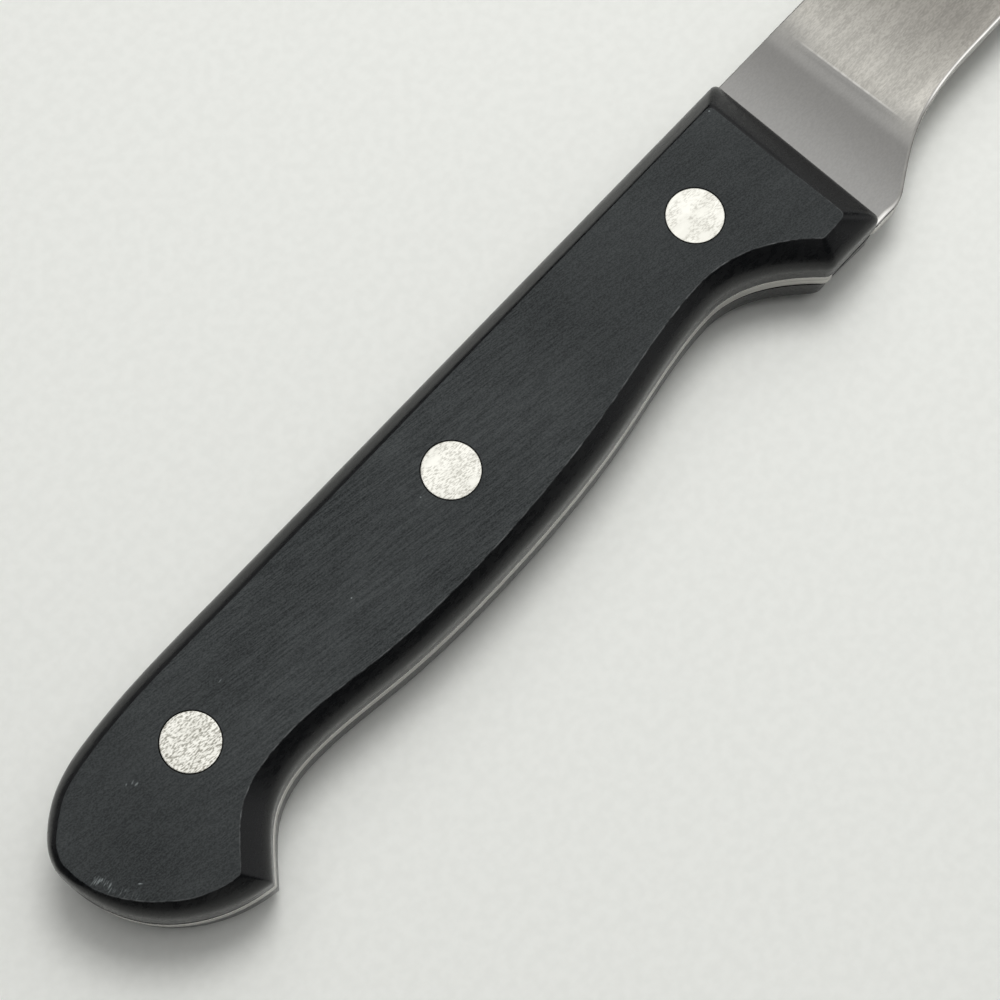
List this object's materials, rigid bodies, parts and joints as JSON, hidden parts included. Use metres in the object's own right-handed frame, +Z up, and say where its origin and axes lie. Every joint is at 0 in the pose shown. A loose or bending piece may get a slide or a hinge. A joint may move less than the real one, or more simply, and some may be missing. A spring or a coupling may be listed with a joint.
{
  "type": "meat fork",
  "caption": "Flat stamped steel meat fork: full tang between riveted black handle scales, ground neck and long pointed tines that curve gently upward.",
  "frame": {"origin": "on the flat outer face of the lower scale, on the line of the rivets, halfway between the middle and the front rivet", "axes": "+X along the handle towards the tines, +Y towards the straight spine, +Z up, away from the surface the fork lies on"},
  "size_m": [0.2805, 0.0272, 0.0166],
  "materials": {
    "blade_steel": "fine brushed along the blade, satin at the heel",
    "scale_black": "sanded matte flat faces, smooth satin sides",
    "rivet_metal": "sanded flush"
  },
  "bodies": {
    "root": {"fork_blade": "blade_steel", "upper_scale": "scale_black", "lower_scale": "scale_black", "front_rivet_barrel": "rivet_metal", "front_rivet_pin": "rivet_metal", "middle_rivet_barrel": "rivet_metal", "middle_rivet_pin": "rivet_metal", "rear_rivet_barrel": "rivet_metal", "rear_rivet_pin": "rivet_metal"}
  },
  "joints": []
}
